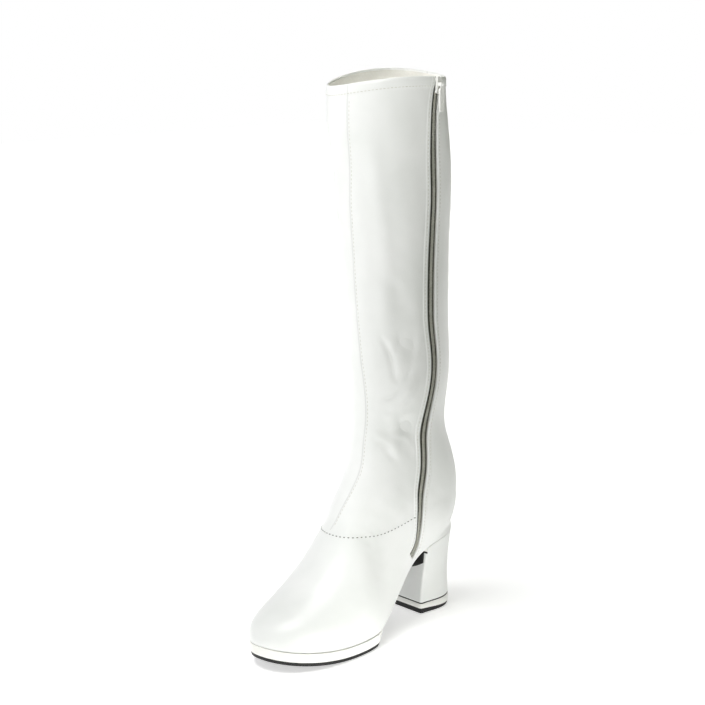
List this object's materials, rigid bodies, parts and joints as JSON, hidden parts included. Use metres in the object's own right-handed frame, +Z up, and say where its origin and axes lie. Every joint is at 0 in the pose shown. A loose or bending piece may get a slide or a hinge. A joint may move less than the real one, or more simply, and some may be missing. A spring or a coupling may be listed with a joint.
{
  "type": "go go boot",
  "caption": "White knee-high go go boot with a rounded toe, block heel, inside zip with pull tab, white sole edge and black outsole; right foot, hollow, open at the collar.",
  "frame": {"origin": "Middle of the heel's ground face, on the floor plane.", "axes": "+Z up along the shaft, the toe towards -Y, the inner (medial) side with the zip towards +X. It is a right boot."},
  "size_m": [0.1031, 0.2436, 0.4885],
  "materials": {
    "white_faux_leather": "satin, fine grain",
    "white_lining": "matte",
    "white_sole_edge": "satin",
    "black_rubber": "matte",
    "grey_zip_tape": "woven, matte",
    "white_zip_coil": "satin",
    "white_enamelled_metal": "gloss enamel"
  },
  "bodies": {
    "boot": {"upper": "white_faux_leather", "insole": "white_lining", "sole_edge": "white_sole_edge", "outsole": "black_rubber", "heel_block": "white_faux_leather", "heel_band": "white_sole_edge", "heel_top_piece": "black_rubber", "zip_tape": "grey_zip_tape", "zip_coil": "white_zip_coil", "zip_slider": "white_enamelled_metal"},
    "pull_tab": {"zip_pull": "white_enamelled_metal"}
  },
  "joints": [
    {"name": "pull_tab_swing", "type": "hinge", "parent": "boot", "child": "pull_tab", "pos_m": [0.04135, -0.01564, 0.4755], "axis": [0.2005, -0.9797, 0], "range_deg": [0, 165]}
  ]
}
